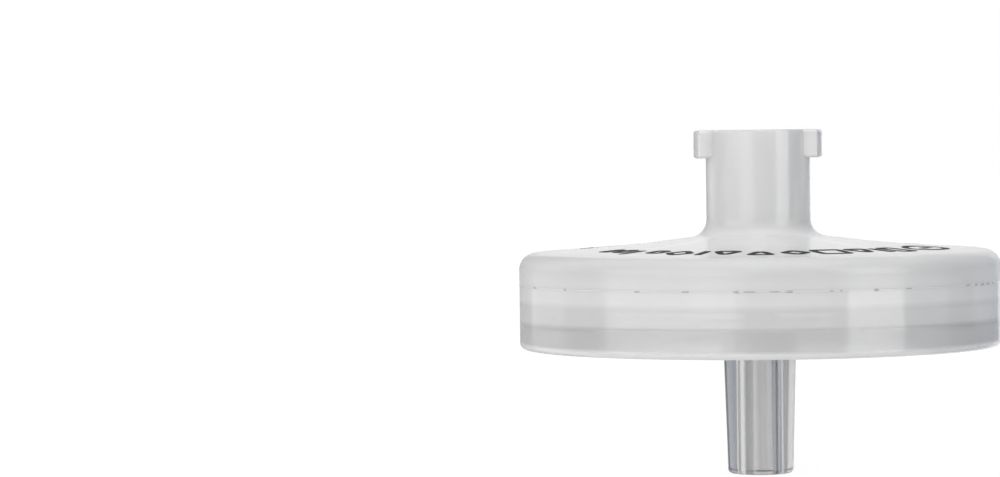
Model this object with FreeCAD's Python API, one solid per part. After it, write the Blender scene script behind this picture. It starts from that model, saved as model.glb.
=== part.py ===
import FreeCAD, Part
import math
import os

from FreeCAD import Vector

# A 25 mm syringe filter: two moulded polypropylene halves, welded round the rim of a membrane disc.
# Lengths are in millimetres and angles in degrees. Z is the axis of flow: the liquid enters at the
# lock hub on top and leaves at the end face of the spout, where Z is 0.

# ---- Membrane and welded joint -----------------------------------------------------------------
membrane_radius = 12.5
membrane_thickness = 0.15
seat_clearance = 0.10        # radial gap between the membrane and the wall of its recess
clamp_width = 0.50           # radial width of the membrane's edge that the cover presses on
tongue_width = 1.40          # radial width of the weld tongue, clamping land included
weld_clearance = 0.04        # radial gap between the weld tongue and the rim round it
rim_wall = 1.03              # wall of the rim outside the tongue
rim_height = 0.74            # from the top of the membrane up to the seam between the halves
seam_bevel = 0.02            # bevel on both edges of the seam

# ---- Cover -------------------------------------------------------------------------------------
cover_side = 1.86            # height of the side wall, from the seam to where the dome would meet it
dome_rise = 1.03             # rise of the dome from the side wall to the hub
dome_curve_radius = 105.0    # the dome is slightly hollow: it bends up towards the hub
shoulder_radius = 1.0
chamber_height = 0.55        # from the membrane up to the ceiling between the ribs

# ---- Lock hub ----------------------------------------------------------------------------------
hub_radius = 3.14
hub_height = 6.29            # from the foot of the dome to the end face
hub_root_radius = 1.05
hub_edge_radius = 0.15
luer_taper = 0.03            # radius gained per millimetre of length: the 6 % taper of a luer cone
socket_mouth_radius = 2.15
socket_depth = 8.0
socket_lead_in = 0.15
inlet_hole_radius = 1.65
ear_reach = 3.87             # from the axis to the tip of a lock ear
ear_width = 3.1
ear_thickness = 1.70
ear_edge_radius = 0.18
ear_count = 2

# ---- Outlet half -------------------------------------------------------------------------------
floor_thickness = 1.24       # from the underside up to the seat of the membrane
skirt_depth = 1.75           # how far the skirt hangs below the underside
skirt_wall = 1.38            # at its lower edge
skirt_draft = 3.0
skirt_outer_rounding = 0.37
skirt_inner_bevel = 0.20
underside_fillet = 0.40

# ---- Spout -------------------------------------------------------------------------------------
spout_projection = 7.65      # from the end face up to the lower edge of the skirt
spout_tip_radius = 1.965
spout_edge_rounding = 0.25
spout_bore_radius = 0.95
spout_root_fillet = 0.5
funnel_radius = 1.7
funnel_depth = 0.5

# ---- Ribs that hold the membrane off both walls ------------------------------------------------
channel_count = 8
channel_width = 1.6          # radial channels of the star in the cover
drain_width = 0.8            # radial channels in the floor
well_radius = 3.75           # shallow well under the hub, where the channels of the star start
well_depth = 0.25
cover_rib_pitch = 0.86
floor_rib_pitch = 1.15
rib_crest = 0.30
rib_draft = 10.0
cover_rib_gap = 0.10         # between the crests of the cover's ribs and the membrane
drain_depth = 0.40           # depth of the grooves in the floor

# ---- Levels along the axis ---------------------------------------------------------------------
skirt_z = spout_projection
underside_z = skirt_z + skirt_depth
seat_z = underside_z + floor_thickness
groove_z = seat_z - drain_depth
membrane_top_z = seat_z + membrane_thickness
rib_crest_z = membrane_top_z + cover_rib_gap
ceiling_z = membrane_top_z + chamber_height
seam_z = membrane_top_z + rim_height
dome_edge_z = seam_z + cover_side
dome_foot_z = dome_edge_z + dome_rise
hub_top_z = dome_foot_z + hub_height
socket_end_z = hub_top_z - socket_depth

# ---- Radii that follow from the fits -----------------------------------------------------------
recess_radius = membrane_radius + seat_clearance
chamber_radius = membrane_radius - clamp_width
tongue_radius = chamber_radius + tongue_width
rim_bore_radius = tongue_radius + weld_clearance
housing_radius = rim_bore_radius + rim_wall


def at(radius, height):
    """The point at this distance from the axis and this height, in the XZ plane."""
    return Vector(radius, 0, height)


def line(start, end):
    """A straight edge between two points."""
    return Part.makeLine(start, end)


def arc(centre, start, end):
    """The shorter arc round a centre from one point to another."""
    radius = (start - centre).Length
    middle = centre + ((start + end) * 0.5 - centre).normalize() * radius
    return Part.Arc(start, middle, end).toShape()


def rounded_corner(before, corner, after, radius):
    """The arc that rounds the corner between two straight runs."""
    back = (before - corner).normalize()
    onward = (after - corner).normalize()
    half_angle = back.getAngle(onward) / 2
    reach = radius / math.tan(half_angle)
    centre = corner + (back + onward).normalize() * (radius / math.sin(half_angle))
    return arc(centre, corner + back * reach, corner + onward * reach)


def outline(*corners):
    """Edges through (radius, height) corners in order. A third number rounds that corner."""
    edges = []
    start = at(*corners[0])
    for before, corner, after in zip(corners, corners[1:], corners[2:]):
        point = at(*corner[:2])
        if len(corner) == 3:
            rounding = rounded_corner(at(*before[:2]), point, at(*after[:2]), corner[2])
            edges += [line(start, rounding.firstVertex().Point), rounding]
            start = rounding.lastVertex().Point
        else:
            edges.append(line(start, point))
            start = point
    return edges + [line(start, at(*corners[-1]))]


def revolved(edges):
    """The solid that a closed run of edges in the XZ plane sweeps round the Z axis."""
    face = Part.Face(Part.Wire(edges))
    return face.revolve(Vector(0, 0, 0), Vector(0, 0, 1), 360)


def round_the_axis(shape, count):
    """Copies of a shape, evenly spaced round the axis."""
    copies = [shape.copy() for _ in range(count)]
    for step, copy in enumerate(copies):
        copy.rotate(Vector(0, 0, 0), Vector(0, 0, 1), step * 360.0 / count)
    return copies


def comb(inner, outer, pitch, root_z, crest_z):
    """Outline of the drafted concentric ribs that fit between two radii, from the inside outwards."""
    half_crest = rib_crest / 2
    half_root = half_crest + abs(crest_z - root_z) * math.tan(math.radians(rib_draft))
    count = int((outer - inner - half_root) / pitch)
    corners = []
    for step in range(count):
        middle = inner + (step + 1) * pitch
        corners += [
            (middle - half_root, root_z),
            (middle - half_crest, crest_z),
            (middle + half_crest, crest_z),
            (middle + half_root, root_z),
        ]
    return corners


def star(inner, outer, width, bottom_z, top_z):
    """Straight radial cutters from one radius to another, one for each channel."""
    slot = Part.makeBox(outer - inner, width, top_z - bottom_z, Vector(inner, -width / 2, bottom_z))
    return round_the_axis(slot, channel_count)


def dome_profile():
    """Side wall, shoulder, dome, hub root and hub wall: arcs and lines that run on without a corner."""
    rim = at(housing_radius, dome_edge_z)
    foot = at(hub_radius, dome_foot_z)
    half_chord = (foot - rim) * 0.5
    upward = Vector(half_chord.z, 0, -half_chord.x).normalize()
    dome_centre = rim + half_chord + upward * math.sqrt(dome_curve_radius**2 - half_chord.Length**2)

    def ball_centre(radius, distance):
        """Centre of a rounding whose radius from the axis and distance from the dome's centre are known."""
        return at(radius, dome_centre.z - math.sqrt(distance**2 - (radius - dome_centre.x)**2))

    def touch(centre):
        """Where a rounding touches the dome."""
        return dome_centre + (centre - dome_centre).normalize() * dome_curve_radius

    shoulder = ball_centre(housing_radius - shoulder_radius, dome_curve_radius + shoulder_radius)
    root = ball_centre(hub_radius + hub_root_radius, dome_curve_radius - hub_root_radius)
    wall_top = at(housing_radius, shoulder.z)
    hub_foot = at(hub_radius, root.z)
    return [
        line(at(housing_radius, seam_z + seam_bevel), wall_top),
        arc(shoulder, wall_top, touch(shoulder)),
        arc(dome_centre, touch(shoulder), touch(root)),
        arc(root, touch(root), hub_foot),
        *outline(
            (hub_radius, root.z),
            (hub_radius, hub_top_z, hub_edge_radius),
            (socket_mouth_radius + socket_lead_in, hub_top_z),
        ),
    ]


def lock_ears():
    """The ears that a locking collar turns over, rooted in the middle of the hub's wall."""
    bottom_z = hub_top_z - ear_thickness
    root_radius = (socket_mouth_radius + hub_radius) / 2
    bar = Part.makeBox(ear_reach, ear_width, ear_thickness, Vector(0, -ear_width / 2, bottom_z))
    disc = Part.makeCylinder(ear_reach, ear_thickness, Vector(0, 0, bottom_z))
    core = Part.makeCylinder(root_radius, ear_thickness, Vector(0, 0, bottom_z))
    ear = bar.common(disc).cut(core)
    free_edges = [
        edge for edge in ear.Edges
        if math.hypot(edge.CenterOfMass.x, edge.CenterOfMass.y) > root_radius + ear_edge_radius
    ]
    return round_the_axis(ear.makeFillet(ear_edge_radius, free_edges), ear_count)


def make_inlet_housing():
    """The cover: dome, lock hub with its ears, weld tongue, and the star that spreads the flow."""
    inside = outline(
        (socket_mouth_radius + socket_lead_in, hub_top_z),
        (socket_mouth_radius - socket_lead_in * luer_taper, hub_top_z - socket_lead_in),
        (socket_mouth_radius - socket_depth * luer_taper, socket_end_z),
        (inlet_hole_radius, socket_end_z),
        (inlet_hole_radius, ceiling_z + well_depth),
        (well_radius, ceiling_z + well_depth),
        (well_radius, ceiling_z),
        *comb(well_radius, chamber_radius, cover_rib_pitch, ceiling_z, rib_crest_z),
        (chamber_radius, ceiling_z),
        (chamber_radius, membrane_top_z),
        (tongue_radius, membrane_top_z),
        (tongue_radius, seam_z),
        (housing_radius - seam_bevel, seam_z),
        (housing_radius, seam_z + seam_bevel),
    )
    cover = revolved(inside + dome_profile())
    cover = cover.cut(star(well_radius, chamber_radius, channel_width, rib_crest_z, ceiling_z))
    return cover.fuse(lock_ears()).removeSplitter()


def make_membrane():
    """The filter membrane, a plain disc of cellulose ester."""
    return Part.makeCylinder(membrane_radius, membrane_thickness, at(0, seat_z))


def make_outlet_housing():
    """The lower half: rim, grooved floor under the membrane, hanging skirt and luer spout."""
    spout_root_radius = spout_tip_radius + underside_z * luer_taper
    skirt_edge_radius = housing_radius - skirt_wall
    skirt_root_radius = skirt_edge_radius - skirt_depth * math.tan(math.radians(skirt_draft))
    section = outline(
        (spout_bore_radius, 0.0),
        (spout_tip_radius, 0.0, spout_edge_rounding),
        (spout_root_radius, underside_z, spout_root_fillet),
        (skirt_root_radius, underside_z, underside_fillet),
        (skirt_edge_radius, skirt_z + skirt_inner_bevel),
        (skirt_edge_radius + skirt_inner_bevel, skirt_z),
        (housing_radius, skirt_z, skirt_outer_rounding),
        (housing_radius, seam_z - seam_bevel),
        (housing_radius - seam_bevel, seam_z),
        (rim_bore_radius, seam_z),
        (rim_bore_radius, membrane_top_z),
        (recess_radius, membrane_top_z),
        (recess_radius, seat_z),
        (chamber_radius, seat_z),
        (chamber_radius, groove_z),
        *reversed(comb(funnel_radius, chamber_radius, floor_rib_pitch, groove_z, seat_z)),
        (funnel_radius, groove_z),
        (spout_bore_radius, groove_z - funnel_depth),
        (spout_bore_radius, 0.0),
    )
    body = revolved(section)
    return body.cut(star(funnel_radius, chamber_radius, drain_width, groove_z, seat_z))


def write(node, shape):
    """Write a piece that has to be one valid solid to its STEP file."""
    solid, = shape.Solids
    print(node, "valid" if solid.isValid() else "NOT VALID", round(solid.Volume, 2), "mm3")
    solid.exportStep("parts/" + node + ".step")


os.makedirs("parts", exist_ok=True)
write("inlet_housing", make_inlet_housing())
write("membrane", make_membrane())
write("outlet_housing", make_outlet_housing())
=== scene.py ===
"""A 25 mm syringe filter standing on a white studio table: its finishes, print, weld and light."""

import logging
import math
from dataclasses import dataclass
from enum import Enum
from typing import Any

import bmesh
import bpy
from mathutils import Matrix, Vector, noise
from mathutils.bvhtree import BVHTree

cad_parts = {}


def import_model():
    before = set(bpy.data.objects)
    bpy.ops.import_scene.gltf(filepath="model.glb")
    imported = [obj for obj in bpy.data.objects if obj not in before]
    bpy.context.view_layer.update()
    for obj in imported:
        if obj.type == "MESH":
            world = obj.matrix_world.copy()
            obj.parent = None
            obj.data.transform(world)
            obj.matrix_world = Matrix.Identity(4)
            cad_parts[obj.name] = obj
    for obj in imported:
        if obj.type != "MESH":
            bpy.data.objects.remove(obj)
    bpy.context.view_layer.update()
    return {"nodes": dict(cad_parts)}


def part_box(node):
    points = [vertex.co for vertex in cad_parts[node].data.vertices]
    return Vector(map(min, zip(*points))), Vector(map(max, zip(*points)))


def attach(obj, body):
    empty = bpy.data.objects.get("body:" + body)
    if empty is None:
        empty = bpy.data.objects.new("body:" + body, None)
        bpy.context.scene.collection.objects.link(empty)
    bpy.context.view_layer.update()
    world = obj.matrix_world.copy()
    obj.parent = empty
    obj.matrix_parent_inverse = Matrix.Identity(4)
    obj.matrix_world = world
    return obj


LOG = logging.getLogger("syringe_filter")
MM = 0.001
BODY = "root"
UP = Vector((0.0, 0.0, 1.0))

# What feeds an input of a node.
Feed = bpy.types.NodeSocket | float
# One share for the whole piece, or heights in millimetres from the lowest up, each with its share.
Profile = float | tuple[tuple[float, float], ...]


def linear(hex_colour: str) -> tuple[float, float, float, float]:
    """Turn an sRGB hex colour into the linear values that shaders take.

    Args:
        hex_colour: Colour such as "#D9DBDE".

    Returns:
        Linear red, green and blue, with an alpha of 1.
    """
    shares = [int(hex_colour[i:i + 2], 16) / 255 for i in (1, 3, 5)]
    red, green, blue = (s / 12.92 if s <= 0.04045 else ((s + 0.055) / 1.055) ** 2.4 for s in shares)
    return red, green, blue, 1.0


def per_metre(size_mm: float) -> float:
    """Scale of a texture whose features are this many millimetres across."""
    return 1 / (size_mm * MM)


def add_node(tree: bpy.types.NodeTree, kind: str, inputs: dict[str | int, Any] | None = None,
             **settings: Any) -> bpy.types.Node:
    """Add a node with its settings, input values and links.

    Args:
        tree: Node tree that takes the node.
        kind: Type name of the node, without the leading "ShaderNode".
        inputs: Value for each input, or the output socket that feeds it.
        settings: Attributes of the node itself.

    Returns:
        The new node.
    """
    node = tree.nodes.new("ShaderNode" + kind)
    for name, value in settings.items():
        setattr(node, name, value)
    for name, value in (inputs or {}).items():
        if isinstance(value, bpy.types.NodeSocket):
            tree.links.new(value, node.inputs[name])
        else:
            node.inputs[name].default_value = value
    return node


def empty_material(name: str) -> bpy.types.Material:
    """Make a node material with nothing in its tree.

    Args:
        name: Name of the material.

    Returns:
        The new material.
    """
    material = bpy.data.materials.new(name)
    material.use_nodes = True
    material.node_tree.nodes.clear()
    return material


def add_object(name: str, shape: bmesh.types.BMesh, material: bpy.types.Material) -> bpy.types.Object:
    """Turn a bmesh into a smooth-shaded object in the scene.

    Args:
        name: Name of the object and its mesh.
        shape: The mesh, which is freed.
        material: Its only material.

    Returns:
        The new object.
    """
    mesh = bpy.data.meshes.new(name)
    shape.to_mesh(mesh)
    shape.free()
    mesh.materials.append(material)
    mesh.shade_smooth()
    made = bpy.data.objects.new(name, mesh)
    bpy.context.scene.collection.objects.link(made)
    return made


def join_rings(shape: bmesh.types.BMesh, rings: list[list[bmesh.types.BMVert]]) -> None:
    """Span the gap between each ring of corners and the next with a belt of faces.

    Args:
        shape: Mesh that holds the corners.
        rings: Rings with as many corners each, in order.
    """
    for this, other in zip(rings, rings[1:]):
        for index in range(len(this)):
            after = (index + 1) % len(this)
            shape.faces.new((this[index], other[index], other[after], this[after]))


def settle_order(shape: bmesh.types.BMesh) -> None:
    """Put a mesh in order of place, because an extrusion leaves its parts in a new order each run.

    Args:
        shape: Mesh whose corners, edges and faces are put in order.
    """
    for parts in (shape.verts, shape.edges, shape.faces):
        in_place = sorted(parts, key=lambda part: [corner.co[:] for corner in getattr(part, "verts", [part])])
        ranks = {part: rank for rank, part in enumerate(in_place)}
        parts.sort(key=ranks.get)


def join_piece(made: bpy.types.Object) -> None:
    """Make an object a piece that rides on the filter."""
    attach(made, BODY)


class Cavity(Enum):
    """Roughness that a finish of the mould's steel leaves on the plastic, from satin to clear gloss."""

    BLASTED = 0.25
    STONED = 0.13
    POLISHED = 0.10


@dataclass(frozen=True)
class MouldedPolypropylene:
    """Natural polypropylene, injection moulded: milky, so light gets a little way in and edges stay soft."""

    name: str
    roughness: Profile               # from the finish of the steel
    clarity: Profile                 # share of light let through a face
    painted_shading: Profile                    # painted light and shade: share of the colour's brightness left
    bore_mm: float = 0.0             # radius of a bore made by a polished core pin, or 0 for none
    bore_clarity: float = 1.0        # share of light that the bore's wall lets through
    bore_fade: tuple[float, float] = (1.1, 1.25)    # where that ends, in radii of the bore
    colour: str = "#E8E8E8"
    clouded_colour: str = "#E0E0E0"
    cloud_mm: float = 2.5
    gloss_spread: float = 0.08       # how far the clouding moves the roughness either way
    scatter_share: float = 0.5
    scatter_mm: float = 0.3
    scatter_reach: tuple[float, float, float] = (1.0, 1.05, 1.15)   # of red, green and blue, in shares of it
    grain_mm: float = 0.3            # real grain is near 0.05 mm, drawn coarse enough to show
    grain_depth_mm: float = 0.0005
    sink_mm: float = 4.0             # width of the shallow waves where thick plastic shrank
    sink_depth_mm: float = 0.02
    ior: float = 1.49

    def by_height(self, tree: bpy.types.NodeTree, place: bpy.types.NodeSocket, profile: Profile) -> Feed:
        """Let a share change with height, as it does where walls differ in thickness or polish; for the
        brightness share it paints light and shade by height.

        Args:
            tree: Tree that takes the nodes.
            place: Position on the piece, in metres.
            profile: The share, or its values by height.

        Returns:
            The share itself where it is the same all over, or the socket that holds it.
        """
        if isinstance(profile, float):
            return profile
        lowest, highest = profile[0][0], profile[-1][0]
        height = add_node(tree, "SeparateXYZ", {"Vector": place}).outputs["Z"]
        share = add_node(tree, "MapRange", {
            "Value": height, "From Min": lowest * MM, "From Max": highest * MM})
        ramp = add_node(tree, "ValToRGB", {"Fac": share.outputs["Result"]})
        marks = ramp.color_ramp.elements
        while len(marks) < len(profile):
            marks.new(0.5)
        for mark, (height_mm, value) in zip(marks, profile):
            mark.position = (height_mm - lowest) / (highest - lowest)
            mark.color = (value, value, value, 1.0)
        return ramp.outputs["Color"]

    def let_through(self, tree: bpy.types.NodeTree, place: bpy.types.NodeSocket) -> Feed:
        """Give the share of light let through, which on the bore's wall is at least the bore's own.

        Args:
            tree: Tree that takes the nodes.
            place: Position on the piece, in metres.

        Returns:
            The share itself where it is the same all over, or the socket that holds it.
        """
        clarity = self.by_height(tree, place, self.clarity)
        if not self.bore_mm:
            return clarity
        across = add_node(tree, "VectorMath", {0: place, 1: (1.0, 1.0, 0.0)}, operation="MULTIPLY")
        radius = add_node(tree, "VectorMath", {0: across.outputs["Vector"]}, operation="LENGTH")
        full, none = (self.bore_mm * share * MM for share in self.bore_fade)
        wall = add_node(tree, "MapRange", {
            "Value": radius.outputs["Value"], "From Min": full, "From Max": none,
            "To Min": self.bore_clarity, "To Max": 0.0})
        return add_node(tree, "Math", {0: clarity, 1: wall.outputs["Result"]},
                        operation="MAXIMUM").outputs["Value"]

    def painted_light_through(self, tree: bpy.types.NodeTree, place: bpy.types.NodeSocket) -> Feed:
        """Give the painted light where something would shine through the plastic: none here."""
        return 1.0

    def material(self) -> bpy.types.Material:
        """Build the shader, with clouding, uneven gloss, grain, slight sink marks and painted light and
        shade.

        Returns:
            The plastic's material.
        """
        made = empty_material(self.name)
        tree = made.node_tree
        place = add_node(tree, "TexCoord").outputs["Object"]
        cloud = add_node(tree, "TexNoise", {
            "Vector": place, "Scale": per_metre(self.cloud_mm), "Detail": 3.0, "Roughness": 0.6})
        colour = add_node(tree, "MixRGB", {
            "Fac": cloud.outputs["Fac"],
            "Color1": linear(self.colour), "Color2": linear(self.clouded_colour)})
        # Painted light and shade: the brightness share by height, times the painted light over any channels
        # and ribs, scales the colour.
        painted_shading = add_node(tree, "Math", {
            0: self.by_height(tree, place, self.painted_shading), 1: self.painted_light_through(tree, place)},
            operation="MULTIPLY")
        colour_with_painted_light = add_node(tree, "MixRGB", {
            "Fac": 1.0, "Color1": colour.outputs["Color"], "Color2": painted_shading.outputs["Value"]},
            blend_type="MULTIPLY")
        grain = add_node(tree, "TexNoise", {
            "Vector": place, "Scale": per_metre(self.grain_mm), "Detail": 2.0, "Roughness": 0.55})
        unevenness = add_node(tree, "MapRange", {
            "Value": cloud.outputs["Fac"], "From Min": 0.3, "From Max": 0.7,
            "To Min": 1 - self.gloss_spread, "To Max": 1 + self.gloss_spread})
        gloss = add_node(tree, "Math", {
            0: self.by_height(tree, place, self.roughness), 1: unevenness.outputs["Result"]},
            operation="MULTIPLY")
        sink = add_node(tree, "TexNoise", {
            "Vector": place, "Scale": per_metre(self.sink_mm), "Detail": 1.0})
        waves = add_node(tree, "Bump", {
            "Height": sink.outputs["Fac"], "Strength": 0.35, "Distance": self.sink_depth_mm * MM})
        relief = add_node(tree, "Bump", {
            "Height": grain.outputs["Fac"], "Strength": 0.6,
            "Distance": self.grain_depth_mm * MM, "Normal": waves.outputs["Normal"]})
        plastic = add_node(tree, "BsdfPrincipled", {
            "Base Color": colour_with_painted_light.outputs["Color"], "Roughness": gloss.outputs["Value"],
            "Normal": relief.outputs["Normal"], "IOR": self.ior,
            "Transmission Weight": self.let_through(tree, place),
            "Subsurface Weight": self.scatter_share,
            "Subsurface Radius": self.scatter_reach, "Subsurface Scale": self.scatter_mm * MM})
        add_node(tree, "OutputMaterial", {"Surface": plastic.outputs["BSDF"]})
        return made


@dataclass(frozen=True)
class RibbedPolypropylene(MouldedPolypropylene):
    """The cover's polypropylene, with painted light where the star of channels and the round ribs inside
    would shine through.
    """

    channels: int = 8
    half_channel_mm: float = 0.8     # half the width of a channel
    channel_core: float = 0.3        # share of that width that shows in full
    channel_painted_light: float = 0.07      # painted light: how much lighter a channel is made
    rib_pitch_mm: float = 0.86
    rib_painted_light: float = 0.05          # painted light: how much lighter a rib is made
    ribbed_mm: tuple[float, float] = (3.75, 12.0)   # radii that the ribs lie between
    fade_mm: float = 0.5             # how soft the two edges of that ring are

    def painted_light_through(self, tree: bpy.types.NodeTree, place: bpy.types.NodeSocket) -> Feed:
        """Give the painted light over the channels and the ribs: how much brighter the plastic is made there.

        Args:
            tree: Tree that takes the nodes.
            place: Position on the piece, in metres.

        Returns:
            The socket that holds the factor.
        """
        def math_node(operation: str, *values: Feed) -> bpy.types.NodeSocket:
            """One step of arithmetic."""
            return add_node(tree, "Math", dict(enumerate(values)), operation=operation).outputs["Value"]

        def falling(value: bpy.types.NodeSocket, full: float, none: float) -> bpy.types.NodeSocket:
            """Turn a value into a share that falls smoothly from 1 to 0.

            Args:
                value: What the share depends on.
                full: Value at which the share is still 1.
                none: Value at which it has come down to 0.

            Returns:
                The socket that holds the share.
            """
            return add_node(tree, "MapRange", {
                "Value": value, "From Min": full, "From Max": none, "To Min": 1.0, "To Max": 0.0},
                interpolation_type="SMOOTHSTEP").outputs["Result"]

        spot = add_node(tree, "SeparateXYZ", {"Vector": place}).outputs
        angle = math_node("PINGPONG", math_node("ARCTAN2", spot["Y"], spot["X"]), math.pi / self.channels)
        radius = math_node("SQRT", math_node("ADD", math_node("MULTIPLY", spot["X"], spot["X"]),
                                             math_node("MULTIPLY", spot["Y"], spot["Y"])))
        channel = falling(math_node("MULTIPLY", radius, math_node("SINE", angle)),
                          self.half_channel_mm * self.channel_core * MM, self.half_channel_mm * MM)
        half_pitch = self.rib_pitch_mm / 2 * MM
        rib = falling(math_node("PINGPONG", radius, half_pitch), 0.0, half_pitch)
        inner_mm, outer_mm = self.ribbed_mm
        within = falling(radius, outer_mm * MM, (outer_mm + self.fade_mm) * MM)
        well = falling(radius, (inner_mm - self.fade_mm) * MM, inner_mm * MM)
        inside = math_node("MULTIPLY", within, math_node("SUBTRACT", 1.0, well))
        painted_brightening = math_node("MAXIMUM", math_node("MULTIPLY", channel, self.channel_painted_light),
                          math_node("MULTIPLY", rib, self.rib_painted_light))
        return math_node("ADD", 1.0, math_node("MULTIPLY", inside, painted_brightening))


@dataclass(frozen=True)
class CastCelluloseEster:
    """Cast cellulose ester membrane: bright, dry and matte, with a fine fibrous tooth."""

    name: str = "cast_cellulose_ester"
    colour: str = "#F2F1ED"
    shaded_colour: str = "#E4E3DE"
    tooth_mm: float = 0.08           # pores are under a micrometre, drawn coarse enough to show
    tooth_depth_mm: float = 0.006

    def material(self) -> bpy.types.Material:
        """Build the shader, with a mottled white and a toothed surface.

        Returns:
            The membrane's material.
        """
        made = empty_material(self.name)
        tree = made.node_tree
        place = add_node(tree, "TexCoord").outputs["Object"]
        tooth = add_node(tree, "TexNoise", {
            "Vector": place, "Scale": per_metre(self.tooth_mm), "Detail": 5.0, "Roughness": 0.7})
        colour = add_node(tree, "MixRGB", {
            "Fac": tooth.outputs["Fac"], "Color1": linear(self.colour), "Color2": linear(self.shaded_colour)})
        dryness = add_node(tree, "MapRange", {
            "Value": tooth.outputs["Fac"], "To Min": 0.85, "To Max": 1.0})
        relief = add_node(tree, "Bump", {
            "Height": tooth.outputs["Fac"], "Strength": 0.8, "Distance": self.tooth_depth_mm * MM})
        paper = add_node(tree, "BsdfPrincipled", {
            "Base Color": colour.outputs["Color"], "Roughness": dryness.outputs["Result"],
            "Normal": relief.outputs["Normal"], "IOR": 1.45})
        add_node(tree, "OutputMaterial", {"Surface": paper.outputs["BSDF"]})
        return made


@dataclass(frozen=True)
class PadPrintInk:
    """Black pad-printing ink on polypropylene: a thin, half-dull film that is a little starved in places."""

    name: str = "pad_print_ink"
    colour: str = "#141413"
    starved_colour: str = "#323231"
    starved_mm: float = 0.25
    starved_range: tuple[float, float] = (0.56, 0.72)   # only the noise's peaks: small scattered specks
    film_roughness: float = 0.65
    film_spread: float = 0.2         # how far the film's roughness varies either way
    film_relief_mm: float = 0.004
    sheen_level: float = 0.2         # low, as the film is full of soot

    def material(self) -> bpy.types.Material:
        """Build the shader, with paler starved specks and an uneven film.

        Returns:
            The ink's material.
        """
        made = empty_material(self.name)
        tree = made.node_tree
        place = add_node(tree, "TexCoord").outputs["Object"]
        film = add_node(tree, "TexNoise", {
            "Vector": place, "Scale": per_metre(self.starved_mm), "Detail": 4.0, "Roughness": 0.65})
        starved = add_node(tree, "MapRange", {
            "Value": film.outputs["Fac"],
            "From Min": self.starved_range[0], "From Max": self.starved_range[1]})
        colour = add_node(tree, "MixRGB", {
            "Fac": starved.outputs["Result"],
            "Color1": linear(self.colour), "Color2": linear(self.starved_colour)})
        dullness = add_node(tree, "MapRange", {
            "Value": film.outputs["Fac"],
            "To Min": self.film_roughness * (1 - self.film_spread),
            "To Max": self.film_roughness * (1 + self.film_spread)})
        relief = add_node(tree, "Bump", {
            "Height": film.outputs["Fac"], "Strength": 0.4, "Distance": self.film_relief_mm * MM})
        ink = add_node(tree, "BsdfPrincipled", {
            "Base Color": colour.outputs["Color"], "Roughness": dullness.outputs["Result"],
            "Normal": relief.outputs["Normal"], "IOR": 1.5, "Specular IOR Level": self.sheen_level})
        add_node(tree, "OutputMaterial", {"Surface": ink.outputs["BSDF"]})
        return made


@dataclass
class Moulding:
    """A moulded or cut piece whose shape is the CAD node's own, and which only needs its finish."""

    node: str
    finish: MouldedPolypropylene | CastCelluloseEster

    def dress(self, node: bpy.types.Object) -> None:
        """Give every slot of the CAD node this piece's finish.

        Args:
            node: Object of the CAD node.
        """
        material = self.finish.material()
        for slot in node.material_slots:
            slot.material = material
        LOG.info("%s dressed in %s", self.node, self.finish.name)


class Mark(Enum):
    """A plain printed shape: the corners of its stroke's middle line, in shares of the row's height."""

    TRIANGLE = ((-0.28, -0.5), (0.28, -0.5), (0.0, 0.5))
    WEDGE = ((-0.28, 0.5), (0.0, -0.5), (0.28, 0.5))
    SQUARE = ((-0.22, -0.5), (0.22, -0.5), (0.22, 0.5), (-0.22, 0.5))
    WIDE_SQUARE = ((-0.34, -0.5), (0.34, -0.5), (0.34, 0.5), (-0.34, 0.5))
    DIAMOND = ((0.0, -0.5), (0.29, 0.0), (0.0, 0.5), (-0.29, 0.0))
    SMALL_SQUARE = ((-0.16, -0.5), (0.16, -0.5), (0.16, 0.06), (-0.16, 0.06))
    BAR = ((0.0, -0.5), (0.0, 0.5))

    @property
    def closed(self) -> bool:
        """Whether the stroke comes back to where it starts."""
        return len(self.value) > 2

    @property
    def half_width(self) -> float:
        """Half the width of the stroke's middle line, in shares of the row's height."""
        return max(x for x, _ in self.value)


@dataclass(frozen=True)
class PrintedRow:
    """Marks with like gaps round part of the dome, named by the angle of the first and the last."""

    first_deg: float
    last_deg: float
    marks: tuple[Mark, ...]
    gap: float = 0.36                # between the middle lines of two strokes, in shares of the row's height

    def placed(self) -> list[tuple[float, Mark]]:
        """Space the marks out along the row.

        Returns:
            Each mark's angle in radians, with the mark.
        """
        reach = [0.0]
        for this, other in zip(self.marks, self.marks[1:]):
            reach.append(reach[-1] + this.half_width + self.gap + other.half_width)
        span = self.last_deg - self.first_deg
        return [(math.radians(self.first_deg + span * along / reach[-1]), mark)
                for along, mark in zip(reach, self.marks)]


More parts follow.
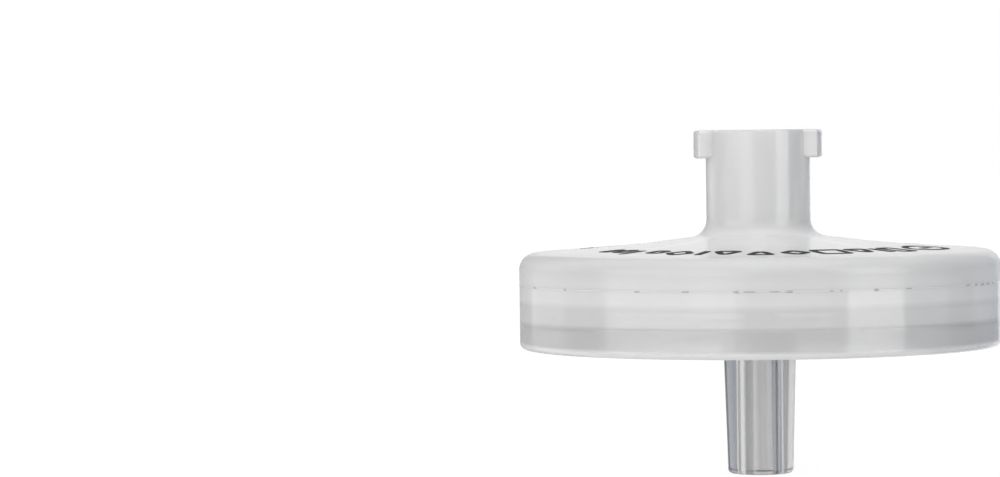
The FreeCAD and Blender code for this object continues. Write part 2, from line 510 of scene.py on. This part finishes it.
@dataclass
class PadPrint:
    """Rows of plain marks, a dot and an oval ring, pad printed on the dome as one thin film of ink."""

    ink: PadPrintInk
    rows: tuple[PrintedRow, ...]
    middle_radius_mm: float = 10.6
    height_mm: float = 2.4           # over the strokes, from 9.4 to 11.8 mm out
    stroke_mm: float = 0.42
    film_mm: float = 0.015
    sunk_mm: float = 0.006           # the ink bites a little into the plastic
    turn_mm: float = 0.22            # radius of the stroke's middle line at a corner
    turn_steps: int = 5
    end_mm: float = 0.08             # rounding of a stroke's end
    end_shares: tuple[float, ...] = (0.1, 0.4, 1.0)   # where that rounding has its points
    step_mm: float = 0.2
    dot_deg: float = 171.0
    dot_mm: float = 0.86
    dot_steps: int = 24
    oval_deg: float = -22.0
    oval_mm: tuple[float, float] = (3.8, 2.2)
    oval_steps: int = 32
    oval_bar: float = 0.4            # length of the bar in the oval, as a share of the oval's
    edge_deg: float = 40.0           # an edge that turns by more, as the film's rim does, is sharp

    def rounded(self, corners: list[Vector], closed: bool) -> list[Vector]:
        """Turn corners into a path of short steps, with each inner corner rounded.

        Args:
            corners: Corners of the path, in millimetres.
            closed: Whether the path comes back to its start.

        Returns:
            Points along the path.
        """
        path: list[Vector] = []
        count = len(corners)
        for index, corner in enumerate(corners):
            if not closed and index in (0, count - 1):
                path.append(corner)
                continue
            back = (corners[index - 1] - corner).normalized()
            on = (corners[(index + 1) % count] - corner).normalized()
            half = back.angle(on) / 2
            inward = (back + on).normalized()
            centre = corner + inward * self.turn_mm / math.sin(half)
            first = (corner + back * self.turn_mm / math.tan(half) - centre).normalized()
            last = (corner + on * self.turn_mm / math.tan(half) - centre).normalized()
            path += [centre + first.slerp(last, step / self.turn_steps) * self.turn_mm
                     for step in range(self.turn_steps + 1)]
        return self.stepped(path + path[:1] if closed else path)

    def stepped(self, path: list[Vector]) -> list[Vector]:
        """Divide the long steps of a path into short ones.

        Args:
            path: Points along the path, in millimetres.

        Returns:
            The same path with points between them.
        """
        points: list[Vector] = []
        for start, end in zip(path, path[1:]):
            parts = math.ceil((end - start).length / self.step_mm)
            points += [start.lerp(end, part / parts) for part in range(parts)]
        return points + path[-1:]

    def stroke(self, shape: bmesh.types.BMesh, path: list[Vector], place: Matrix, closed: bool) -> None:
        """Draw a flat ribbon along a path.

        Args:
            shape: Mesh that takes the ribbon.
            path: Points along its middle, in millimetres; a closed path ends where it starts.
            place: From the mark's own place to the filter's, in metres.
            closed: Whether the two ends are one.
        """
        if not closed:
            first, last = (path[1] - path[0]).normalized(), (path[-2] - path[-1]).normalized()
            start = [path[0] + first * self.end_mm * share for share in self.end_shares]
            end = [path[-1] + last * self.end_mm * share for share in reversed(self.end_shares)]
            path = [path[0]] + start + path[1:-1] + end + [path[-1]]
        lengths = [0.0]
        for here, there in zip(path, path[1:]):
            lengths.append(lengths[-1] + (there - here).length)
        sections = []
        for index, point in enumerate(path[:-1] if closed else path):
            before = path[index - 1] if index else (path[-2] if closed else point)
            after = path[index + 1] if index + 1 < len(path) else point
            along = (after - before).normalized()
            side = Vector((-along.y, along.x, 0.0))
            near = min(lengths[index], lengths[-1] - lengths[index])
            lost = 0.0
            if not closed and near < self.end_mm:
                lost = self.end_mm - math.sqrt(self.end_mm ** 2 - (self.end_mm - near) ** 2)
            half = self.stroke_mm / 2 - lost
            sections.append([shape.verts.new(place @ (point + side * half * share))
                             for share in (-1.0, 0.0, 1.0)])
        following = sections[1:] + (sections[:1] if closed else [])
        for this, other in zip(sections, following):
            for inner in (0, 1):
                shape.faces.new((this[inner], other[inner], other[inner + 1], this[inner + 1]))

    def place_at(self, angle: float) -> Matrix:
        """From a mark's own millimetres, X along the arc and Y outward, to the filter's metres."""
        turn = Matrix.Rotation(angle - math.pi / 2, 4, "Z")
        return turn @ Matrix.Translation((0.0, self.middle_radius_mm * MM, 0.0)) @ Matrix.Scale(MM, 4)

    def draw_marks(self, shape: bmesh.types.BMesh) -> None:
        """Draw every mark of every row, with its stroke inside the row's height.

        Args:
            shape: Mesh that takes the marks.
        """
        tall = self.height_mm - self.stroke_mm
        for row in self.rows:
            for angle, mark in row.placed():
                corners = [Vector((x * self.height_mm, y * tall, 0.0)) for x, y in mark.value]
                self.stroke(shape, self.rounded(corners, mark.closed), self.place_at(angle), mark.closed)

    def draw_oval(self, shape: bmesh.types.BMesh) -> None:
        """Draw the oval ring with a bar in it that stands opposite the dot.

        Args:
            shape: Mesh that takes the oval.
        """
        wide, tall = (size / 2 for size in self.oval_mm)
        turns = [math.tau * step / self.oval_steps for step in range(self.oval_steps + 1)]
        ring = [Vector((math.cos(turn) * wide, math.sin(turn) * tall, 0.0)) for turn in turns]
        bar = [Vector((wide * self.oval_bar * side, 0.0, 0.0)) for side in (-1.0, 1.0)]
        place = self.place_at(math.radians(self.oval_deg))
        self.stroke(shape, ring, place, True)
        self.stroke(shape, self.stepped(bar), place, False)

    def draw_dot(self, shape: bmesh.types.BMesh) -> None:
        """Draw the round dot.

        Args:
            shape: Mesh that takes the dot.
        """
        place = self.place_at(math.radians(self.dot_deg))
        middle = shape.verts.new(place @ Vector())
        turns = [math.tau * step / self.dot_steps for step in range(self.dot_steps)]
        inner, outer = ([shape.verts.new(place @ (Vector((math.cos(turn), math.sin(turn), 0.0)) * radius))
                         for turn in turns] for radius in (self.dot_mm / 4, self.dot_mm / 2))
        for index in range(self.dot_steps):
            after = (index + 1) % self.dot_steps
            shape.faces.new((middle, inner[index], inner[after]))
            shape.faces.new((inner[index], outer[index], outer[after], inner[after]))

    def lay_on(self, shape: bmesh.types.BMesh, dome: bpy.types.Object) -> None:
        """Lay the flat film on the dome and give it its thickness.

        Args:
            shape: The flat film.
            dome: CAD node that it is printed on.
        """
        surface = BVHTree.FromObject(dome, bpy.context.evaluated_depsgraph_get())
        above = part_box(dome.name)[1].z + 1.0 * MM
        for corner in shape.verts:
            hit = surface.ray_cast(Vector((corner.co.x, corner.co.y, above)), -UP)[0]
            corner.co.z = hit.z + self.film_mm * MM
        bmesh.ops.recalc_face_normals(shape, faces=shape.faces)
        bottom = bmesh.ops.extrude_face_region(shape, geom=list(shape.faces))["geom"]
        lowered = [part for part in bottom if isinstance(part, bmesh.types.BMVert)]
        bmesh.ops.translate(shape, verts=lowered, vec=-UP * (self.film_mm + self.sunk_mm) * MM)
        bmesh.ops.recalc_face_normals(shape, faces=shape.faces)
        settle_order(shape)

    def build(self, dome: bpy.types.Object) -> bpy.types.Object:
        """Print the dome.

        Args:
            dome: CAD node that takes the print.

        Returns:
            The piece of ink.
        """
        shape = bmesh.new()
        self.draw_marks(shape)
        self.draw_oval(shape)
        self.draw_dot(shape)
        self.lay_on(shape, dome)
        print_film = add_object("pad_print", shape, self.ink.material())
        print_film.data.set_sharp_from_angle(angle=math.radians(self.edge_deg))
        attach(print_film, BODY)
        LOG.info("pad_print laid on %s", dome.name)
        return print_film


@dataclass(frozen=True)
class Lump:
    """One lump of squeezed-out plastic: where it sits, how long it is and how far it stands out."""

    angle_deg: float                 # round the seam, from the lock ear on +X
    length_mm: float
    out_mm: float


@dataclass
class WeldFlash:
    """Plastic squeezed out of the weld here and there: small separate lumps, drawn out along the seam."""

    finish: MouldedPolypropylene
    sunk_mm: float = 0.06            # how far a lump reaches into the seam
    flat_mm: float = 0.02            # least half height of a lump
    fullness: float = 0.7            # how much half height each millimetre that it stands out adds
    unevenness: float = 0.45
    ripple: float = 4.0              # how quickly the unevenness changes along a lump
    sections: int = 12
    corners: int = 8
    lumps: tuple[Lump, ...] = (
        Lump(-141.0, 0.35, 0.045), Lump(-118.7, 0.35, 0.040), Lump(-106.8, 0.50, 0.035),
        Lump(-95.2, 0.35, 0.060), Lump(-92.3, 0.95, 0.022), Lump(-86.6, 0.85, 0.022),
        Lump(-83.3, 0.45, 0.055), Lump(-73.6, 0.25, 0.040), Lump(-71.4, 0.20, 0.030),
        Lump(-62.7, 0.35, 0.070), Lump(-54.0, 0.60, 0.025), Lump(-33.5, 0.55, 0.045),
        Lump(-29.6, 0.45, 0.050), Lump(-26.2, 0.50, 0.085), Lump(-22.4, 0.70, 0.065),
        Lump(-18.8, 0.40, 0.050), Lump(12.0, 0.50, 0.050), Lump(29.0, 0.30, 0.040),
        Lump(47.0, 0.60, 0.060), Lump(71.0, 0.30, 0.040), Lump(96.0, 0.70, 0.050),
        Lump(118.0, 0.25, 0.050), Lump(133.0, 0.40, 0.060), Lump(152.0, 0.50, 0.040),
        Lump(168.0, 0.60, 0.050), Lump(-172.0, 0.30, 0.040), Lump(-156.0, 0.40, 0.045))

    def squeeze_out(self, shape: bmesh.types.BMesh, lump: Lump, radius_mm: float, seam_mm: float) -> None:
        """Add one closed lump, thickest in its middle and pointed at both ends.

        Args:
            shape: Mesh that takes the lump.
            lump: Where it sits and how big it is.
            radius_mm: Radius of the housing.
            seam_mm: Height of the seam.
        """
        def corner(along: float, out: float, rise: float) -> bmesh.types.BMVert:
            """Add a corner of the lump.

            Args:
                along: Share of the half length, from the middle.
                out: Millimetres out of the housing.
                rise: Millimetres above the seam.

            Returns:
                The corner.
            """
            angle = math.radians(lump.angle_deg) + along * lump.length_mm / 2 / radius_mm
            reach = radius_mm + out
            spot = Vector((math.cos(angle) * reach, math.sin(angle) * reach, seam_mm + rise))
            return shape.verts.new(spot * MM)

        half_out = (self.sunk_mm + lump.out_mm) / 2
        half_rise = self.flat_mm + lump.out_mm * self.fullness
        turns = [math.tau * index / self.corners for index in range(self.corners)]
        rings = []
        for section in range(1, self.sections):
            along = -math.cos(math.pi * section / self.sections)
            spot = Vector((lump.angle_deg, along * lump.length_mm * self.ripple, 0.0))
            thick = math.sqrt(1 - along * along) * (1 + self.unevenness * noise.noise(spot))
            rings.append([corner(along, lump.out_mm * thick - half_out * thick * (1 - math.cos(turn)),
                                 half_rise * thick * math.sin(turn)) for turn in turns])
        ends = corner(-1.0, -self.sunk_mm / 2, 0.0), corner(1.0, -self.sunk_mm / 2, 0.0)
        join_rings(shape, rings)
        for end, ring in zip(ends, (rings[0], rings[-1])):
            for index in range(self.corners):
                shape.faces.new((end, ring[index], ring[(index + 1) % self.corners]))

    def build(self) -> bpy.types.Object:
        """Build the lumps round the seam, which is the top of the outlet half.

        Returns:
            The piece that holds them all.
        """
        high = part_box("outlet_housing")[1]
        shape = bmesh.new()
        for lump in self.lumps:
            self.squeeze_out(shape, lump, high.x / MM, high.z / MM)
        bmesh.ops.recalc_face_normals(shape, faces=shape.faces)
        flash = add_object("weld_flash", shape, self.finish.material())
        join_piece(flash)
        LOG.info("weld_flash built round the seam")
        return flash


@dataclass
class WeldBead:
    """Fine round bead of plastic that fills the groove between the halves, all the way round."""

    finish: MouldedPolypropylene
    radius_mm: float = 0.03          # of its section; half of this stands out of the wall
    sections: int = 360
    corners: int = 8

    def build(self) -> bpy.types.Object:
        """Build the bead round the seam, which is the top of the outlet half.

        Returns:
            The bead.
        """
        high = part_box("outlet_housing")[1] / MM
        turns = [math.tau * index / self.corners for index in range(self.corners)]
        section_mm = [Vector((high.x + self.radius_mm * (math.cos(turn) - 0.5), 0.0,
                              high.z + self.radius_mm * math.sin(turn))) for turn in turns]
        shape = bmesh.new()
        rings = []
        for step in range(self.sections):
            around = Matrix.Rotation(math.tau * step / self.sections, 4, "Z")
            rings.append([shape.verts.new(around @ corner * MM) for corner in section_mm])
        join_rings(shape, rings + rings[:1])
        bmesh.ops.recalc_face_normals(shape, faces=shape.faces)
        bead = add_object("weld_bead", shape, self.finish.material())
        join_piece(bead)
        LOG.info("weld_bead built round the seam")
        return bead


@dataclass(frozen=True)
class Softbox:
    """A broad lamp that faces the middle of the filter."""

    name: str
    heading_deg: float               # round the axis, from straight before the filter, positive to its right
    rise_deg: float                  # above the horizon
    reach_mm: float                  # from the middle of the filter
    size_mm: tuple[float, float]     # width and height
    power_watts: float


@dataclass(frozen=True)
class Card:
    """A curved card that stands round the filter, for gloss and clear plastic to pick up."""

    name: str
    headings_deg: tuple[float, float]   # of its two ends, measured as a softbox's is
    colour: str


@dataclass
class Studio:
    """White table and backdrop, two side softboxes, a broad overhead one and curved cards round them."""

    table_mm: float = 3000.0
    table_colour: str = "#F4F4F4"
    ambient: float = 0.86
    shadow_share: float = 0.12       # how much of the table's own shading shows beside its plain white
    aim_mm: float = 11.0             # height that the softboxes face
    softboxes: tuple[Softbox, ...] = (
        Softbox("left_softbox", -43.5, 10.0, 450.0, (590.0, 420.0), 1.05),
        Softbox("right_softbox", 56.0, 10.0, 450.0, (240.0, 420.0), 0.73),
        Softbox("top_softbox", 0.0, 80.0, 500.0, (500.0, 400.0), 0.45))
    card_reach_mm: float = 600.0     # from the axis
    card_height_mm: float = 500.0    # above the table, and as far below it
    card_steps: int = 12
    cards: tuple[Card, ...] = (
        Card("right_card", (71.0, 98.0), "#A0A8B6"),
        Card("right_flag", (98.0, 120.0), "#0A0C12"),
        Card("right_back_card", (120.0, 156.0), "#BAC0CA"),
        Card("left_back_card", (190.0, 222.0), "#C4C4C4"),
        Card("front_card", (-5.0, 12.0), "#DADADA"),
        Card("front_side_card", (12.0, 41.0), "#C0C0C0"),
        Card("left_flag", (-104.0, -78.0), "#D0D0D0"))

    def seen_directly(self, tree: bpy.types.NodeTree) -> bpy.types.NodeSocket:
        """Give 1 to rays that show the background: straight, reflected or through the plastic.

        Args:
            tree: Tree that takes the nodes.

        Returns:
            The socket that holds the answer.
        """
        path = add_node(tree, "LightPath")
        mirrored = add_node(tree, "Math", {
            0: path.outputs["Is Camera Ray"], 1: path.outputs["Is Glossy Ray"]}, operation="MAXIMUM")
        through = add_node(tree, "Math", {
            0: mirrored.outputs["Value"], 1: path.outputs["Is Transmission Ray"]}, operation="MAXIMUM")
        return through.outputs["Value"]

    def build_world(self) -> None:
        """Make the world white where it is seen and a plain soft light elsewhere."""
        world = bpy.data.worlds.new("studio")
        world.use_nodes = True
        tree = world.node_tree
        tree.nodes.clear()
        strength = add_node(tree, "MapRange", {
            "Value": self.seen_directly(tree), "To Min": self.ambient, "To Max": 1.0})
        light = add_node(tree, "Background", {
            "Color": (1.0, 1.0, 1.0, 1.0), "Strength": strength.outputs["Result"]})
        add_node(tree, "OutputWorld", {"Surface": light.outputs["Background"]})
        bpy.context.scene.world = world

    def build_table(self) -> None:
        """Lay the table at the height that the filter stands on, open from below."""
        material = empty_material("white_table")
        tree = material.node_tree
        surface = add_node(tree, "BsdfDiffuse", {"Color": linear(self.table_colour)})
        shaded = add_node(tree, "BsdfDiffuse", {"Color": (*[self.shadow_share] * 3, 1.0)})
        plain = add_node(tree, "Emission", {
            "Color": (1.0, 1.0, 1.0, 1.0), "Strength": 1.0 - self.shadow_share / 2})
        white = add_node(tree, "AddShader", {0: shaded.outputs["BSDF"], 1: plain.outputs["Emission"]})
        top = add_node(tree, "MixShader", {
            0: self.seen_directly(tree), 1: surface.outputs["BSDF"], 2: white.outputs["Shader"]})
        under = add_node(tree, "BsdfTransparent")
        side = add_node(tree, "NewGeometry").outputs["Backfacing"]
        whole = add_node(tree, "MixShader", {0: side, 1: top.outputs["Shader"], 2: under.outputs["BSDF"]})
        add_node(tree, "OutputMaterial", {"Surface": whole.outputs["Shader"]})
        shape = bmesh.new()
        bmesh.ops.create_grid(shape, x_segments=1, y_segments=1, size=self.table_mm * MM / 2)
        table = add_object("table", shape, material)
        # Gloss, clear plastic and soft light take the same white from the world.
        table.visible_glossy = False
        table.visible_transmission = False
        table.visible_diffuse = False

    def hang(self, softbox: Softbox) -> None:
        """Hang a lamp that faces the middle of the filter and stays out of the camera's sight.

        Args:
            softbox: Where it hangs, its size and its power.
        """
        data = bpy.data.lights.new(softbox.name, "AREA")
        data.shape = "RECTANGLE"
        data.size, data.size_y = (side * MM for side in softbox.size_mm)
        data.energy = softbox.power_watts
        lamp = bpy.data.objects.new(softbox.name, data)
        bpy.context.scene.collection.objects.link(lamp)
        turn, lift = math.radians(softbox.heading_deg), math.radians(softbox.rise_deg)
        away = Vector((math.sin(turn) * math.cos(lift), -math.cos(turn) * math.cos(lift), math.sin(lift)))
        lamp.location = UP * self.aim_mm * MM + away * softbox.reach_mm * MM
        lamp.rotation_mode = "QUATERNION"
        lamp.rotation_quaternion = away.to_track_quat("Z", "Y")
        lamp.visible_camera = False

    def stand(self, card: Card) -> None:
        """Stand a card round part of the filter, out of the camera's sight.

        Args:
            card: Where it stands and its colour.
        """
        material = empty_material(card.name + "_card")
        tree = material.node_tree
        paint = add_node(tree, "BsdfDiffuse", {"Color": linear(card.colour)})
        add_node(tree, "OutputMaterial", {"Surface": paint.outputs["BSDF"]})
        shape = bmesh.new()
        first, last = card.headings_deg
        high = self.card_height_mm * MM
        lower, upper = [], []
        for step in range(self.card_steps + 1):
            turn = math.radians(first + (last - first) * step / self.card_steps)
            x, y = (self.card_reach_mm * MM * share for share in (math.sin(turn), -math.cos(turn)))
            lower.append(shape.verts.new((x, y, -high)))
            upper.append(shape.verts.new((x, y, high)))
        for step in range(self.card_steps):
            shape.faces.new((lower[step], lower[step + 1], upper[step + 1], upper[step]))
        flag = add_object(card.name, shape, material)
        flag.visible_camera = False

    def build(self) -> None:
        """Set up the world, the table, the softboxes and the cards."""
        self.build_world()
        self.build_table()
        for softbox in self.softboxes:
            self.hang(softbox)
        for card in self.cards:
            self.stand(card)
        LOG.info("studio built")


@dataclass
class ProductCamera:
    """A long lens a little above the filter, turned so that the filter stands right of the middle."""

    reach_mm: float = 220.0
    height_mm: float = 20.2
    lens_mm: float = 131.0
    down_deg: float = 1.532
    left_deg: float = 4.067
    roll_deg: float = -0.68
    clip_m: tuple[float, float] = (0.005, 20.0)

    def build(self) -> None:
        """Place the camera and make it the scene's."""
        data = bpy.data.cameras.new("product_camera")
        data.lens = self.lens_mm
        data.clip_start, data.clip_end = self.clip_m
        camera = bpy.data.objects.new("product_camera", data)
        bpy.context.scene.collection.objects.link(camera)
        level = Matrix.Rotation(math.radians(90.0), 4, "X")
        pitch = Matrix.Rotation(math.radians(-self.down_deg), 4, "X")
        yaw = Matrix.Rotation(math.radians(self.left_deg), 4, "Z")
        roll = Matrix.Rotation(math.radians(self.roll_deg), 4, "Z")
        place = Matrix.Translation((0.0, -self.reach_mm * MM, self.height_mm * MM))
        camera.matrix_world = place @ yaw @ level @ pitch @ roll
        bpy.context.scene.camera = camera
        LOG.info("camera placed")


# The cover's side and dome are satin and cloudy, and its hub is glossier and clearer. Its brightness share by
# height is painted shade and light: the side darker, the dome lightest at the hub's root.
COVER_PLASTIC = RibbedPolypropylene(
    "moulded_natural_polypropylene_satin",
    roughness=((10.0, Cavity.BLASTED.value), (14.5, Cavity.BLASTED.value),
               (15.8, Cavity.STONED.value), (21.0, Cavity.STONED.value)),
    clarity=((10.5, 0.15), (11.9, 0.15), (12.6, 0.3), (14.0, 0.3), (15.5, 0.45), (20.8, 0.45)),
    painted_shading=((10.5, 0.78), (11.9, 0.78), (12.6, 0.85), (13.4, 0.84), (14.3, 1.0), (15.5, 0.92), (20.8, 0.92)),
    bore_mm=2.15, bore_clarity=0.7, grain_depth_mm=0.0010, colour="#F8F8F8", clouded_colour="#F2F2F2")

# The outlet half is glossy: a clear spout, the skirt's milky lip, its clearer wall and a milky rim. Its
# brightness share by height is painted shade: the spout and the rim darker than the skirt.
OUTLET_PLASTIC = MouldedPolypropylene(
    "moulded_natural_polypropylene_gloss",
    roughness=Cavity.POLISHED.value,
    clarity=((0.0, 0.9), (7.4, 0.9), (7.6, 0.1), (7.95, 0.1), (8.15, 0.5), (9.2, 0.5), (9.5, 0.3),
             (10.4, 0.3), (10.8, 0.1), (11.6, 0.1)),
    painted_shading=((0.0, 0.87), (7.4, 0.87), (7.8, 0.97), (10.4, 0.96), (10.9, 0.91), (11.6, 0.91)),
    bore_mm=0.95)

# The bead melted and set again: pale and glossy, with little light let through.
BEAD_PLASTIC = MouldedPolypropylene(
    "welded_polypropylene", roughness=Cavity.POLISHED.value, clarity=0.1, painted_shading=1.0,
    colour="#EAEAEA", clouded_colour="#E4E4E4", scatter_share=0.0)

# What the weld squeezed out is painted darker than the bead, a painted shade that shows as short dashes along
# the seam.
FLASH_PLASTIC = MouldedPolypropylene(
    "squeezed_out_polypropylene", roughness=Cavity.POLISHED.value, clarity=0.1, painted_shading=0.62)

PRINTED_ROWS = (
    PrintedRow(-125.0, -41.0, (
        Mark.SMALL_SQUARE, Mark.DIAMOND, Mark.BAR, Mark.TRIANGLE, Mark.WEDGE, Mark.DIAMOND, Mark.WIDE_SQUARE,
        Mark.TRIANGLE, Mark.BAR, Mark.SQUARE)),
    PrintedRow(-148.0, -134.0, (Mark.SMALL_SQUARE, Mark.SMALL_SQUARE, Mark.BAR)),
    PrintedRow(32.0, 89.0, (
        Mark.DIAMOND, Mark.TRIANGLE, Mark.BAR, Mark.SQUARE, Mark.WEDGE, Mark.BAR, Mark.SQUARE)),
    PrintedRow(103.0, 122.0, (Mark.SQUARE, Mark.SMALL_SQUARE, Mark.SQUARE)),
    PrintedRow(139.0, 151.0, (Mark.SMALL_SQUARE, Mark.SQUARE)),
)


def main() -> None:
    """Load the frame, dress it, add the pieces that the CAD leaves out, and light it."""
    logging.basicConfig(level=logging.INFO, format="%(name)s: %(message)s")
    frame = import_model()
    ProductCamera().build()
    for moulding in (Moulding("inlet_housing", COVER_PLASTIC), Moulding("outlet_housing", OUTLET_PLASTIC),
                     Moulding("membrane", CastCelluloseEster())):
        moulding.dress(frame["nodes"][moulding.node])
    PadPrint(PadPrintInk(), PRINTED_ROWS).build(frame["nodes"]["inlet_housing"])
    WeldBead(BEAD_PLASTIC).build()
    WeldFlash(FLASH_PLASTIC).build()
    Studio().build()
    bpy.context.scene.view_settings.view_transform = "Standard"


if __name__ == "__main__":
    main()
